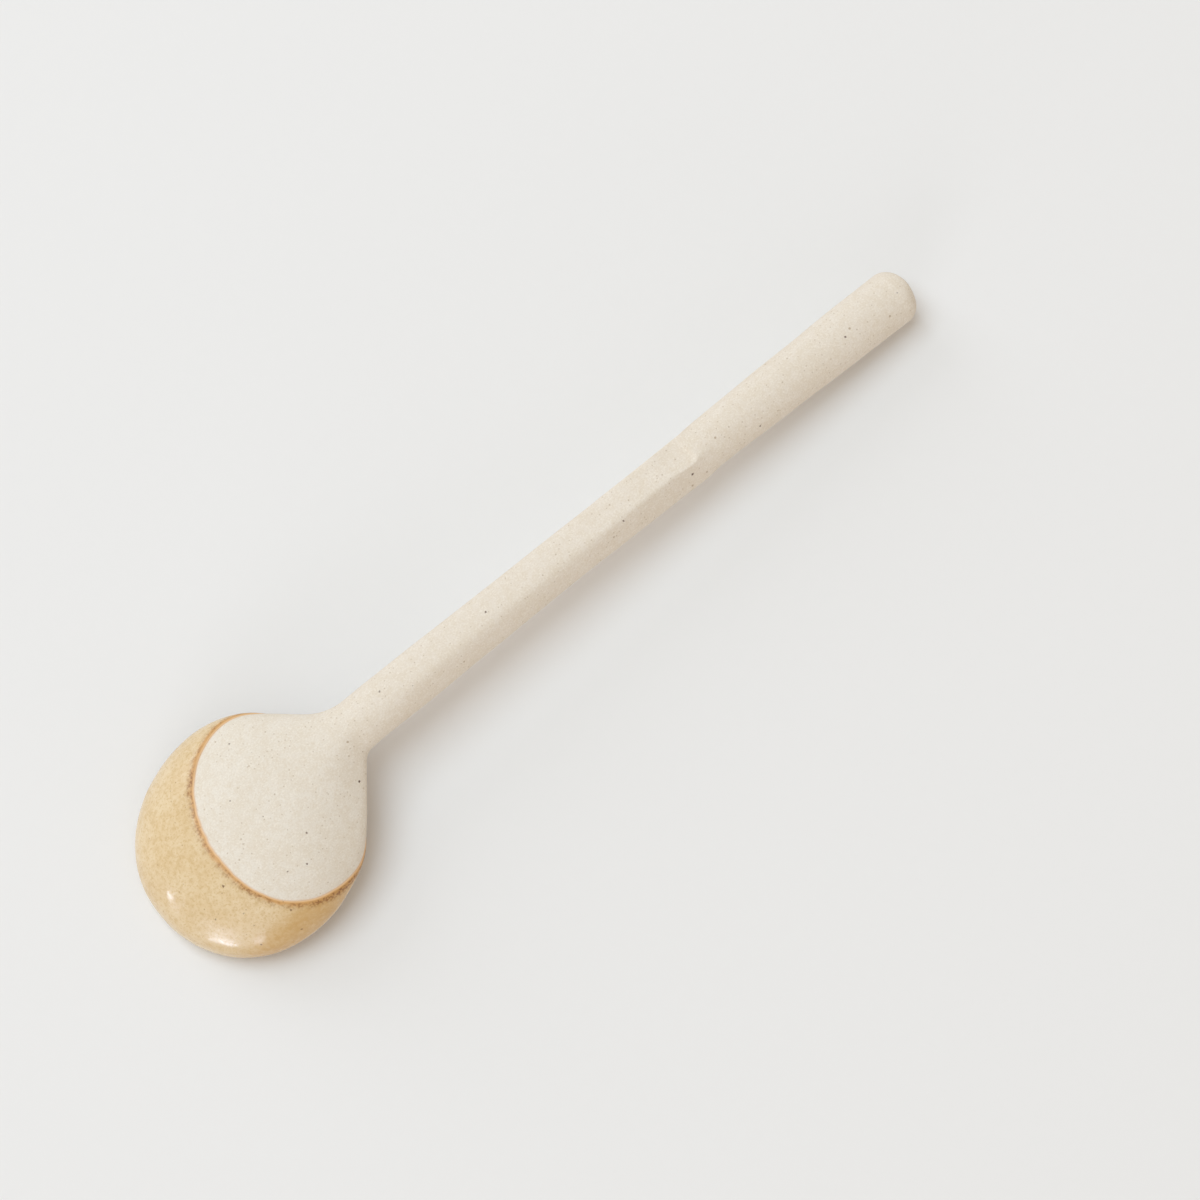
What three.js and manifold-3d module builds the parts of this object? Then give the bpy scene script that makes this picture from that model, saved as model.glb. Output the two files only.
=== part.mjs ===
// Hand-built stoneware spoon lying face down: a pressed bowl, a shaved handle, the slip that joins
// them and the glaze that the bowl was dipped in.
// Millimetres, +Z up. X runs from the bowl's tip to the handle's cut end and +Y is the left side.
// While the pieces are shaped, x = 0 is the bowl's middle; the finished group is centred on its footprint.

import * as THREE from "three";
import { mergeVertices } from "three/addons/utils/BufferGeometryUtils.js";
import Module from "manifold-3d";

const { degToRad, lerp, smoothstep } = THREE.MathUtils;

// Bowl, in bare clay: reaches are measured in plan from the bowl's middle
const bowlTipReach = 19.4;
const bowlHalfLeft = 18.0;
const bowlHalfRight = 18.5;
const tipFullness = 0.02; // how far the tip's right side swells half way round, as a share of its reach
const bowlDepth = 12.0; // rim plane to the crown of the back
const bowlWall = 3.6; // clay between the hollow and the crown
const rimRadius = 1.8; // round of the rim's outer edge
const rimWidth = 2.6; // outer edge to the mouth of the hollow
const mouthRound = 2.4; // depth over which the mouth's edge is rounded
const mouthNeckReach = 16.0; // bowl's middle to the mouth on the handle's side
const backFullness = 2.2; // 2 makes the back elliptical, more makes it fuller
const hollowFullness = 3.0;
const rimTilt = 10.5; // degrees between the rim plane and the table
const bowlYaw = 3.5; // degrees that the bowl is set off the handle's line
const yawEase = 5.0; // length over which that bend starts
const tipLean = 0.92; // how far the tip leans back to the left

// Shoulders between bowl and neck: where the round flank ends and how far it runs on, then the corner at
// the neck, the degrees at which the shoulder comes in there, the length of that stretch and the fillet
const flankLeft = 9.5;
const swellLeft = 4.2;
const cornerLeft = 21.5;
const cornerAngleLeft = 41.0;
const stretchLeft = 5.4;
const filletLeft = 3.0;
const flankRight = 4.7;
const swellRight = 8.3;
const cornerRight = 22.25;
const cornerAngleRight = 49.5;
const stretchRight = 9.5;
const filletRight = 1.2;
const sinkShare = 0.5; // how far the right shoulder sinks beside the neck's ridge, 0 leaving it round
const sinkFrom = 3.0; // bowl's middle to where that starts
const sinkFull = 19.0; // and to where it is deepest

// Neck and handle
const neckReach = 25.4; // bowl's middle to the joint
const neckRise = 4.7; // rim plane to the handle's axis at the joint
const neckWidth = 8.8;
const neckThickness = 8.5;
const neckShift = 0.3; // how far the joint lies to the left of the cut end
const settleDepth = 0.5; // how far the clay has settled at the joint
const settleLength = 11.0; // how far that reaches on both sides
const handleLength = 114.4;
const waistFromNeck = 54.0;
const waistWidth = 8.1;
const waistThickness = 7.85;
const buttWidth = 9.65;
const buttThickness = 9.3;
const buttEdge = 3.0; // round of the cut end's edge, seen from above
const buttTop = 1.6; // height of that round at the top and the bottom
const handleBow = 1.5; // rise of the axis over a straight line
const shaveFromNeck = 62.0; // middle of the scoop left by the knife
const shaveLength = 14.0;
const shaveDepth = 0.5;
const shaveAngle = 68.0; // degrees from the left side up to the scoop's middle

// Joint
const slipThickness = 0.6;
const seamGap = 0.05;

// Glaze
const glazeThickness = 0.36;
const glazeEdge = 0.2; // thickness at the coat's edge
const glazeFeather = 3.0; // distance from the edge over which the coat thickens
const glazeGap = 0.1; // clearance to the clay
const glazeNeckReach = 18.4; // bowl's middle to the coat's end under the neck
const dipLevel = 8.7; // height of the dip plane over the rim plane, at the bowl's middle
const dipSlope = 24.0; // degrees between the dip plane and the rim plane
const dipLean = 2.5; // degrees that the dip plane rises to the left
const glazeWrapLeft = 82.0; // degrees round the profile that the coat always reaches, 90 being the edge
const glazeWrapRight = 95.0;
const groundFlat = 0.25; // depth ground off the rim where it rests

// Steps of the shaped surfaces
const tipSteps = 12;
const mouthSteps = 10;
const neckSteps = 5;
const profileSteps = 18;
const sectionSides = 28;
const neckToShaveSteps = 12;
const shaveSteps = 6;
const shaveToButtSteps = 9;
const edgeSteps = 4;

const clayMaterial = () => new THREE.MeshStandardMaterial({ color: 0xe3d9c8, roughness: 0.92, metalness: 0 });
const glazeMaterial = () => new THREE.MeshStandardMaterial({ color: 0xd8b985, roughness: 0.3, metalness: 0 });

// A closed surface collected corner by corner, with shared corners kept once
class Surface {
  constructor() {
    this.points = [];
    this.index = [];
    this.known = new Map();
  }

  corner(point) {
    const key = point.toArray().map((value) => Math.round(value * 1e4)).join(" ");
    if (!this.known.has(key)) {
      this.known.set(key, this.points.length / 3);
      this.points.push(...point.toArray());
    }
    return this.known.get(key);
  }

  triangle(a, b, c) {
    const [i, j, k] = [this.corner(a), this.corner(b), this.corner(c)];
    if (i !== j && j !== k && k !== i) this.index.push(i, j, k);
  }

  quad(a, b, c, d) {
    this.triangle(a, b, c);
    this.triangle(a, c, d);
  }

  geometry() {
    const geometry = new THREE.BufferGeometry();
    geometry.setAttribute("position", new THREE.Float32BufferAttribute(this.points, 3));
    geometry.setIndex(this.index);
    geometry.computeVertexNormals();
    return geometry;
  }
}

// The larger of two lengths, with a rounded change from one to the other
function softMax(a, b, round) {
  const near = Math.max(0, round - Math.abs(a - b));
  return Math.max(a, b) + (near * near) / (4 * round);
}

// Height of the rim plane over the bowl's tip
const rimPlane = (x) => (x + bowlTipReach) * Math.tan(degToRad(rimTilt));

// Sideways shift of the spoon's middle line, from the joint to the bowl's tip
function sway(x) {
  const run = Math.max(0, neckReach - x);
  const lean = tipLean * Math.min(0, x / bowlTipReach) ** 2 + neckShift * smoothstep(x, 0, neckReach);
  return lean - (Math.tan(degToRad(bowlYaw)) * run * run) / (run + yawEase);
}

// Drop of the spoon's middle line by the joint, where the bend between bowl and handle is eased
function settle(x) {
  const jointX = neckReach + seamGap + slipThickness / 2;
  const near = Math.max(0, 1 - Math.abs(x - jointX) / settleLength);
  return -settleDepth * near * near;
}

// Plan outline of one side from the bowl's widest place to the joint
function shoulderPath(half, flank, swell, corner, cornerAngle, stretch) {
  const flankY = Math.sqrt(half * half - flank * flank);
  const swellY = flankY - (flank / flankY) * swell;
  const slope = Math.tan(degToRad(cornerAngle));
  const neckY = neckWidth / 2;
  const path = new THREE.Path();
  path.absarc(0, 0, half, Math.PI / 2, Math.asin(flankY / half), true);
  path.bezierCurveTo(flank + swell, swellY, corner - stretch, neckY + slope * stretch, corner, neckY);
  path.lineTo(neckReach, neckY - slope * (neckReach - corner));
  return path.getPoints(60);
}

const sides = {
  left: {
    half: bowlHalfLeft,
    points: shoulderPath(bowlHalfLeft, flankLeft, swellLeft, cornerLeft, cornerAngleLeft, stretchLeft),
    fillet: filletLeft,
    wrap: degToRad(glazeWrapLeft),
  },
  right: {
    half: bowlHalfRight,
    points: shoulderPath(bowlHalfRight, flankRight, swellRight, cornerRight, cornerAngleRight, stretchRight),
    fillet: filletRight,
    wrap: degToRad(glazeWrapRight),
  },
};

function halfWidthAt(side, x) {
  const next = Math.max(1, side.points.findIndex((point) => point.x >= x));
  const [a, b] = x >= neckReach ? side.points.slice(-2) : side.points.slice(next - 1, next + 1);
  return softMax(lerp(a.y, b.y, (x - a.x) / (b.x - a.x)), neckWidth / 2, side.fillet);
}

// The bowl is swept by a line that turns round it: from -2 at the joint along the right side to 0 at the
// tip, and on along the left side to 2. Round the tip the line swings about the bowl's middle, and from
// the middle to the joint it moves along the spine.
function sweepLine(turn) {
  const side = turn < 0 ? sides.right : sides.left;
  const sign = turn < 0 ? -1 : 1;
  const along = Math.abs(turn);
  if (along <= 1) {
    const swing = (along * Math.PI) / 2;
    const swell = 1 + (turn < 0 ? tipFullness : 0) * Math.sin(2 * swing) ** 2;
    const [reach, half] = [swell * bowlTipReach, swell * side.half];
    return { spineX: 0, edgeX: -reach * Math.cos(swing), edgeY: sign * half * Math.sin(swing) };
  }
  const x = (along - 1) * neckReach;
  return { spineX: x, edgeX: x, edgeY: sign * halfWidthAt(side, x) };
}

// Height that the hollow takes out of the bowl above the rim plane
function hollow(x, y) {
  const reachX = x < 0 ? bowlTipReach - rimWidth : mouthNeckReach;
  const reachY = (y < 0 ? bowlHalfRight : bowlHalfLeft) - rimWidth;
  const radius = Math.hypot(x / reachX, y / reachY);
  const depth = (bowlDepth - bowlWall) * (1 - radius ** hollowFullness);
  return softMax(depth, 0, mouthRound);
}

// Share by which the right shoulder has sunk at a place along the spine
function sinkAt(x) {
  const toDeepest = smoothstep(x, sinkFrom, sinkFull);
  return sinkShare * toDeepest * (1 - smoothstep(x, sinkFull, neckReach));
}

// Point of the clay bowl: the angle runs from 0 on the back's middle line over the outer edge at a right
// angle to half a turn on the middle line of the underside
function claySkin(turn, angle, isSunk = true) {
  const { spineX, edgeX, edgeY } = sweepLine(turn);
  const toNeck = smoothstep(spineX, 0, neckReach);
  const rise = lerp(rimRadius, neckRise, toNeck);
  const share = Math.sin(angle);
  const x = lerp(spineX, edgeX, share);
  const y = edgeY * share;
  let z = rimPlane(x) + rise + settle(x);
  if (angle < Math.PI / 2) {
    const crown = lerp(bowlDepth - rimRadius, neckThickness / 2, toNeck);
    const round = Math.sqrt(1 - share ** lerp(backFullness, 2, toNeck));
    const wave = (1 + Math.cos(Math.PI * share)) / 2;
    z += crown * lerp(round, wave, isSunk && turn < 0 ? sinkAt(spineX) : 0);
  } else {
    const under = lerp(rimRadius, neckThickness / 2, toNeck);
    const flatness = Math.max(2, (2 * Math.hypot(edgeX - spineX, edgeY)) / under);
    z += hollow(x, y) - under * Math.sqrt(1 - share ** flatness);
  }
  return new THREE.Vector3(x, y + sway(x), z);
}

// Outward direction of the clay's surface
function clayNormal(turn, angle) {
  if (angle > Math.PI - 1e-6) {
    const tilt = degToRad(rimTilt);
    if (Math.abs(turn) <= 1) return new THREE.Vector3(Math.sin(tilt), 0, -Math.cos(tilt));
    const beside = Math.PI - 0.02;
    return clayNormal(turn, beside).add(clayNormal(-turn, beside)).normalize();
  }
  const step = 1e-3;
  const along = claySkin(turn + step, angle).sub(claySkin(turn - step, angle));
  const around = claySkin(turn, angle + step).sub(claySkin(turn, angle - step));
  return along.cross(around).normalize();
}

const spread = (from, to, steps) => Array.from({ length: steps + 1 }, (_, i) => lerp(from, to, i / steps));
const bothSides = (turns) => [...turns.map((turn) => -turn).reverse(), ...turns.slice(1)];

const glazeTurn = 1 + glazeNeckReach / neckReach;
const coatTurns = [...spread(0, 1, tipSteps), ...spread(1, glazeTurn, mouthSteps).slice(1)];
const bowlTurns = [...coatTurns, ...spread(glazeTurn, 2, neckSteps).slice(1)];
const profileStep = Math.PI / profileSteps;
const profileAngles = spread(0, Math.PI, profileSteps);

function makeBowl() {
  const rows = bothSides(bowlTurns).map((turn) => profileAngles.map((angle) => claySkin(turn, angle)));
  const surface = new Surface();
  for (let i = 0; i + 1 < rows.length; i++) {
    for (let j = 0; j < profileSteps; j++) {
      surface.quad(rows[i][j], rows[i + 1][j], rows[i + 1][j + 1], rows[i][j + 1]);
    }
  }
  // flat end of the neck stub, closed in strips from the back to the underside
  const [right, left] = [rows[0], rows.at(-1)];
  for (let j = 0; j < profileSteps / 2; j++) {
    const under = profileSteps - j;
    surface.quad(right[j], right[j + 1], right[under - 1], right[under]);
    surface.quad(left[j + 1], left[j], left[under], left[under - 1]);
  }
  return surface.geometry();
}

// Depth of a point of the clay under the dip plane
function dipDepth(point) {
  const dipPlane = dipLevel - point.x * Math.tan(degToRad(dipSlope)) + point.y * Math.tan(degToRad(dipLean));
  return dipPlane - (point.z - rimPlane(point.x));
}

// Angle where the dip plane crosses a sweep line, drawn to a profile angle close by; the sunk shoulder
// doesn't bend the dip line
function dipAngle(turn) {
  const { wrap } = turn < 0 ? sides.right : sides.left;
  let [dry, wet] = [0, wrap];
  if (dipDepth(claySkin(turn, wrap, false)) < 0) return wrap;
  for (let i = 0; i < 40; i++) {
    const middle = (dry + wet) / 2;
    if (dipDepth(claySkin(turn, middle, false)) < 0) dry = middle;
    else wet = middle;
  }
  const nearest = Math.round(wet / profileStep) * profileStep;
  return Math.abs(wet - nearest) < profileStep / 10 ? nearest : wet;
}

// Thickness of the coat: thin at the dip line, round the rim by the neck and at the end under the neck
function coatThickness(turn, angle, point) {
  const { spineX, edgeX, edgeY } = sweepLine(turn);
  const inside = angle < Math.PI / 2 ? 0 : (1 - Math.sin(angle)) * Math.hypot(edgeX - spineX, edgeY);
  const fromEdge = Math.min(glazeNeckReach - point.x, Math.max(inside, dipDepth(point)));
  return lerp(glazeEdge, glazeThickness, smoothstep(fromEdge, 0, glazeFeather));
}

function makeGlazeCoat() {
  const turns = bothSides(coatTurns);
  const layer = (isOuter) =>
    turns.map((turn) => {
      const dip = dipAngle(turn);
      return profileAngles.map((step) => {
        const angle = Math.max(step, dip);
        const point = claySkin(turn, angle);
        const offset = isOuter ? glazeGap + coatThickness(turn, angle, point) : glazeGap;
        return point.addScaledVector(clayNormal(turn, angle), offset);
      });
    });
  const [inner, outer] = [layer(false), layer(true)];
  const surface = new Surface();
  const [last, end] = [turns.length - 1, outer[0].length - 1];
  for (let i = 0; i < last; i++) {
    for (let j = 0; j < end; j++) {
      surface.quad(outer[i][j], outer[i + 1][j], outer[i + 1][j + 1], outer[i][j + 1]);
      surface.quad(inner[i][j], inner[i][j + 1], inner[i + 1][j + 1], inner[i + 1][j]);
    }
    surface.quad(outer[i + 1][0], outer[i][0], inner[i][0], inner[i + 1][0]);
  }
  for (let j = 0; j < end; j++) {
    surface.quad(outer[0][j], outer[0][j + 1], inner[0][j + 1], inner[0][j]);
    surface.quad(outer[last][j + 1], outer[last][j], inner[last][j], inner[last][j + 1]);
  }
  return surface.geometry();
}

// Closed solid through rings of equal length, with flat ends
function loft(rings) {
  const surface = new Surface();
  const middle = (ring) => ring.reduce((sum, p) => sum.add(p), new THREE.Vector3()).divideScalar(ring.length);
  const [first, last] = [rings[0], rings.at(-1)];
  for (let j = 0; j < first.length; j++) {
    const k = (j + 1) % first.length;
    for (let i = 0; i + 1 < rings.length; i++) {
      surface.quad(rings[i][j], rings[i][k], rings[i + 1][k], rings[i + 1][j]);
    }
    surface.triangle(middle(first), first[k], first[j]);
    surface.triangle(middle(last), last[j], last[k]);
  }
  return surface.geometry();
}

const jointHeight = rimPlane(neckReach) + neckRise;
const jointY = sway(neckReach);
const handleStart = neckReach + slipThickness + 2 * seamGap;

// Round section in a plane across X
function section(x, y, z, width, thickness) {
  return Array.from({ length: sectionSides }, (_, i) => {
    const angle = (i / sectionSides) * 2 * Math.PI;
    return new THREE.Vector3(x, y + (width / 2) * Math.cos(angle), z + (thickness / 2) * Math.sin(angle));
  });
}

function makeSlipJoint() {
  const from = neckReach + seamGap;
  const place = (x) => section(x, jointY, jointHeight + settle(x), neckWidth, neckThickness);
  return loft([place(from), place(from + slipThickness)]);
}

// Width or thickness along the handle, easing from the neck to the waist and on to the butt
function alongHandle(run, neck, waist, butt) {
  if (run < waistFromNeck) return lerp(neck, waist, smoothstep(run, 0, waistFromNeck));
  return lerp(waist, butt, smoothstep(run, waistFromNeck, handleLength));
}

// Presses a section's points back to the scoop that the knife left
function shave(ring, run, y, z, radius) {
  const off = (2 * (run - shaveFromNeck)) / shaveLength;
  const depth = Math.abs(off) < 1 ? shaveDepth * (1 - off * off) ** 2 : 0;
  const angle = degToRad(shaveAngle);
  const normal = new THREE.Vector3(0, Math.cos(angle), Math.sin(angle));
  for (const point of ring) {
    const reach = (point.y - y) * normal.y + (point.z - z) * normal.z;
    point.addScaledVector(normal, Math.min(0, radius - depth - reach));
  }
  return ring;
}

function makeHandle(tableHeight) {
  const straight = handleLength - buttEdge;
  const [shaveStart, shaveEnd] = [shaveFromNeck - shaveLength / 2, shaveFromNeck + shaveLength / 2];
  const runs = [
    ...spread(0, shaveStart, neckToShaveSteps),
    ...spread(shaveStart, shaveEnd, shaveSteps).slice(1),
    ...spread(shaveEnd, straight, shaveToButtSteps).slice(1),
  ];
  for (const turn of spread(0, Math.PI / 2, edgeSteps).slice(1)) {
    runs.push(straight + buttEdge * Math.sin(turn));
  }
  const buttHeight = tableHeight + buttThickness / 2;
  const rings = runs.map((run) => {
    const share = Math.min(1, run / straight);
    const x = handleStart + run;
    const y = lerp(jointY, 0, share);
    const z = lerp(jointHeight, buttHeight, share) + 4 * handleBow * share * (1 - share) + settle(x);
    const past = Math.max(0, run - straight);
    const inset = 1 - Math.sqrt(Math.max(0, 1 - (past / buttEdge) ** 2));
    const width = alongHandle(run, neckWidth, waistWidth, buttWidth) - 2 * buttEdge * inset;
    const thickness = alongHandle(run, neckThickness, waistThickness, buttThickness) - 2 * buttTop * inset;
    return shave(section(x, y, z, width, thickness), run, y, z, thickness / 2);
  });
  return loft(rings);
}

const wasm = await Module();
wasm.setup();

function toSolid(geometry) {
  const vertProperties = new Float32Array(geometry.getAttribute("position").array);
  const triVerts = new Uint32Array(geometry.getIndex().array);
  return new wasm.Manifold(new wasm.Mesh({ numProp: 3, vertProperties, triVerts }));
}

function toGeometry(solid) {
  const { vertProperties, triVerts } = solid.getMesh();
  const geometry = new THREE.BufferGeometry();
  geometry.setAttribute("position", new THREE.BufferAttribute(vertProperties, 3));
  geometry.setIndex(new THREE.BufferAttribute(triVerts, 1));
  geometry.computeVertexNormals();
  return geometry;
}

// Grinds the coat flat where the rim rests on the table
function grindRim(coat, tableHeight) {
  const box = coat.boundingBox;
  const size = box.getSize(new THREE.Vector3());
  const stone = new THREE.BoxGeometry(2 * size.x, 2 * size.y, 2 * size.z);
  stone.translate((box.min.x + box.max.x) / 2, (box.min.y + box.max.y) / 2, tableHeight - size.z);
  stone.deleteAttribute("normal");
  stone.deleteAttribute("uv");
  return toGeometry(toSolid(coat).subtract(toSolid(mergeVertices(stone))));
}

const coat = makeGlazeCoat();
coat.computeBoundingBox();
const tableHeight = coat.boundingBox.min.z + groundFlat;

const spoon = new THREE.Group();
function addPiece(name, geometry, material) {
  const mesh = new THREE.Mesh(geometry, material);
  mesh.name = name;
  spoon.add(mesh);
}

addPiece("handle", makeHandle(tableHeight), clayMaterial());
addPiece("slip_joint", makeSlipJoint(), clayMaterial());
addPiece("bowl", makeBowl(), clayMaterial());
addPiece("glaze_coat", grindRim(coat, tableHeight), glazeMaterial());

// The origin is the middle of the footprint on the table
const bounds = new THREE.Box3().setFromObject(spoon);
const middle = bounds.getCenter(new THREE.Vector3());
spoon.position.set(-middle.x, -middle.y, -bounds.min.z);

export default spoon;
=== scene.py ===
import math
import bmesh
import bpy
import numpy as np
from mathutils import Matrix, Vector, noise


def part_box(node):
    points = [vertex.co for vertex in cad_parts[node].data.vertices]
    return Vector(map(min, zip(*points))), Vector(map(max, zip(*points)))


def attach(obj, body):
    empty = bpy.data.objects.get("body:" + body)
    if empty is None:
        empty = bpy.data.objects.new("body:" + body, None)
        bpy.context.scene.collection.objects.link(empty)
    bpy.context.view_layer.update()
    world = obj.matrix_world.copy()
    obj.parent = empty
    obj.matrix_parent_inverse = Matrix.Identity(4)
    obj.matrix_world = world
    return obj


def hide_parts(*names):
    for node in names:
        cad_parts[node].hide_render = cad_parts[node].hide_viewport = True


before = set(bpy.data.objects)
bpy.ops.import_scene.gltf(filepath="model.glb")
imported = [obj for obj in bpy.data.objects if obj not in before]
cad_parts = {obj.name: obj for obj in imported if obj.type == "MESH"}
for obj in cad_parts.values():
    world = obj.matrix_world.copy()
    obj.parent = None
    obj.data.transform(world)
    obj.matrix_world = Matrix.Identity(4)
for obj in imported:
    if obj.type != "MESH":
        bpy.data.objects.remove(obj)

# Stoneware spoon lying face down on pale paper.
# Shapes are worked out in millimetres with x = 0 at the bowl's middle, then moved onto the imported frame.
mm = 0.001
halfTurn = math.pi
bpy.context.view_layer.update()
print("frame loaded")


# small helpers for shapes
def ease(share):
    share = np.clip(share, 0, 1)
    return share * share * (3 - 2 * share)


def mix(a, b, share):
    return a + (b - a) * share


def softMax(a, b, soft):
    # the larger of two lengths, with a rounded change from one to the other
    near = np.maximum(0, soft - np.abs(a - b))
    return np.maximum(a, b) + near * near / (4 * soft)


def wobble(points, size, seed):
    # smooth noise from -1 to 1 with bumps of that size, different for each seed
    shift = Vector((seed * 31.7, seed * 17.3, seed * 5.9))
    flat = (points / size).reshape(-1, 3)
    values = [noise.noise(Vector(point) + shift) for point in flat]
    return np.array(values).reshape(points.shape[:-1])


# bowl
bowl = {
    "tipReach": 19.4, "halfLeft": 18.0, "halfRight": 18.65, "tipFullness": 0.02,  # plan, from the bowl's middle
    "depth": 12.0, "wall": 3.6, "rimRadius": 1.8, "rimWidth": 2.6,
    "mouthRound": 2.4, "mouthNeckReach": 16.0,
    "backFullness": 2.2, "hollowFullness": 3.0,
    "rimTilt": 10.5, "yaw": 3.5, "yawEase": 5.0, "tipLean": 0.92,
    "left": {"flank": 9.5, "swell": 4.2, "corner": 21.5, "cornerAngle": 41.0, "stretch": 5.4, "fillet": 3.0},
    "right": {"flank": 4.7, "swell": 8.3, "corner": 22.25, "cornerAngle": 49.5, "stretch": 9.5, "fillet": 1.2},
    "neckReach": 25.4, "neckRise": 4.7, "neckWidth": 8.8, "neckThickness": 8.5, "neckShift": 0.3,
    "settleDepth": 0.5, "settleLength": 11.0,  # eases the bend between bowl and handle
    "sinkShare": 0.5, "sinkFrom": 3.0, "sinkFull": 19.0,  # the right shoulder's hollow beside the neck
    "swellHeight": 0.10, "swellSize": 13.0,  # slow unevenness of hand-pressed clay
    "dentHeight": 0.035, "dentSize": 4.0, "calmReach": 6.0,  # the unevenness fades that near to the joint
    "tipSteps": 84, "neckSteps": 84, "profileSteps": 144, "arcSteps": 30, "curveSteps": 120,
}
slip = {"thickness": 0.7, "steps": 3, "sides": 96}

jointX = bowl["neckReach"] + slip["thickness"] / 2


def rimPlane(x):
    return (x + bowl["tipReach"]) * math.tan(math.radians(bowl["rimTilt"]))


def sway(x):
    # sideways shift of the middle line, from the joint to the tip
    run = np.maximum(0, bowl["neckReach"] - x)
    lean = bowl["tipLean"] * np.minimum(0, x / bowl["tipReach"]) ** 2
    lean = lean + bowl["neckShift"] * ease(x / bowl["neckReach"])
    return lean - math.tan(math.radians(bowl["yaw"])) * run * run / (run + bowl["yawEase"])


def settle(x):
    near = np.maximum(0, 1 - np.abs(x - jointX) / bowl["settleLength"])
    return -bowl["settleDepth"] * near ** 2


def shoulderPath(half, side):
    # plan outline of one side from the widest place to the joint: an arc, a curve and a straight stretch
    flankY = math.sqrt(half ** 2 - side["flank"] ** 2)
    slope = math.tan(math.radians(side["cornerAngle"]))
    neckY = bowl["neckWidth"] / 2
    turn = np.linspace(math.pi / 2, math.asin(flankY / half), bowl["arcSteps"])
    arc = np.column_stack([half * np.cos(turn), half * np.sin(turn)])
    corners = [
        (side["flank"], flankY),
        (side["flank"] + side["swell"], flankY - side["flank"] / flankY * side["swell"]),
        (side["corner"] - side["stretch"], neckY + slope * side["stretch"]),
        (side["corner"], neckY),
    ]
    a, b, c, d = (np.array(corner) for corner in corners)
    t = np.linspace(0, 1, bowl["curveSteps"])[1:, None]
    curve = (1 - t) ** 3 * a + 3 * (1 - t) ** 2 * t * b + 3 * (1 - t) * t ** 2 * c + t ** 3 * d
    end = (bowl["neckReach"], neckY - slope * (bowl["neckReach"] - side["corner"]))
    return np.vstack([arc, curve, end]).T


leftPath = shoulderPath(bowl["halfLeft"], bowl["left"])
rightPath = shoulderPath(bowl["halfRight"], bowl["right"])


def halfWidth(path, side, x):
    return softMax(np.interp(x, *path), bowl["neckWidth"] / 2, side["fillet"])


def sweepLine(turn):
    # the line that sweeps the bowl: -2 at the joint, along the right side to 0 at the tip, 2 at the joint again
    along = np.abs(turn)
    isLeft = turn >= 0
    swing = np.minimum(along, 1) * math.pi / 2
    reach = np.maximum(along - 1, 0) * bowl["neckReach"]
    swell = 1 + np.where(isLeft, 0, bowl["tipFullness"]) * np.sin(2 * swing) ** 2  # fuller on the right
    half = np.where(isLeft, bowl["halfLeft"], bowl["halfRight"])
    leftY = halfWidth(leftPath, bowl["left"], reach)
    rightY = halfWidth(rightPath, bowl["right"], reach)
    onTip = along <= 1
    edgeX = np.where(onTip, -swell * bowl["tipReach"] * np.cos(swing), reach)
    edgeY = np.where(onTip, swell * half * np.sin(swing), np.where(isLeft, leftY, rightY))
    return reach, edgeX, np.where(isLeft, edgeY, -edgeY)


def hollow(x, y):
    reachX = np.where(x < 0, bowl["tipReach"] - bowl["rimWidth"], bowl["mouthNeckReach"])
    reachY = np.where(y < 0, bowl["halfRight"], bowl["halfLeft"]) - bowl["rimWidth"]
    radius = np.hypot(x / reachX, y / reachY)
    depth = (bowl["depth"] - bowl["wall"]) * (1 - radius ** bowl["hollowFullness"])
    return softMax(depth, 0, bowl["mouthRound"])


def claySkin(turn, angle, sunk=1.0):
    # angle 0 is the middle of the back, a right angle the outer edge, half a turn the middle of the underside
    spineX, edgeX, edgeY = sweepLine(turn)
    toNeck = ease(spineX / bowl["neckReach"])
    rise = mix(bowl["rimRadius"], bowl["neckRise"], toNeck)
    share = np.sin(angle)
    x = mix(spineX, edgeX, share)
    y = edgeY * share
    crown = mix(bowl["depth"] - bowl["rimRadius"], bowl["neckThickness"] / 2, toNeck)
    fullness = mix(bowl["backFullness"], 2.0, toNeck)
    # the right shoulder sinks beside the ridge that the neck leaves
    sink = ease((spineX - bowl["sinkFrom"]) / (bowl["sinkFull"] - bowl["sinkFrom"]))
    sink = sink * ease((bowl["neckReach"] - spineX) / (bowl["neckReach"] - bowl["sinkFull"]))
    sink = np.where(edgeY < 0, sunk * bowl["sinkShare"] * sink, 0)
    dome = np.sqrt(np.maximum(0, 1 - share ** fullness))
    back = crown * mix(dome, (1 + np.cos(halfTurn * share)) / 2, sink)
    under = mix(bowl["rimRadius"], bowl["neckThickness"] / 2, toNeck)
    flatness = np.maximum(2, 2 * np.hypot(edgeX - spineX, edgeY) / under)
    belly = hollow(x, y) - under * np.sqrt(np.maximum(0, 1 - share ** flatness))
    z = rimPlane(x) + rise + settle(x) + np.where(angle < math.pi / 2, back, belly)
    return np.stack(np.broadcast_arrays(x, y + sway(x), z), -1)


def skinNormal(turn, angle):
    # outward direction; the poles and the middle line take the mean of the two sides
    step, poleGap = 1e-3, 0.03
    inner = np.clip(angle, poleGap, halfTurn - poleGap)
    along = claySkin(turn + step, inner) - claySkin(turn - step, inner)
    around = claySkin(turn, inner + step) - claySkin(turn, inner - step)
    normal = np.cross(along, around)
    normal /= np.linalg.norm(normal, axis=-1, keepdims=True)
    onTip = np.abs(turn).ravel() <= 1
    for column in (0, -1):
        atMiddle = np.abs(np.sin(angle[..., column])).ravel() < 1e-6
        if atMiddle.all():
            line = normal[:, column] + normal[::-1, column]
            line[onTip] = line[onTip].mean(axis=0)
            normal[:, column] = line / np.linalg.norm(line, axis=-1, keepdims=True)
    return normal


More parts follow.
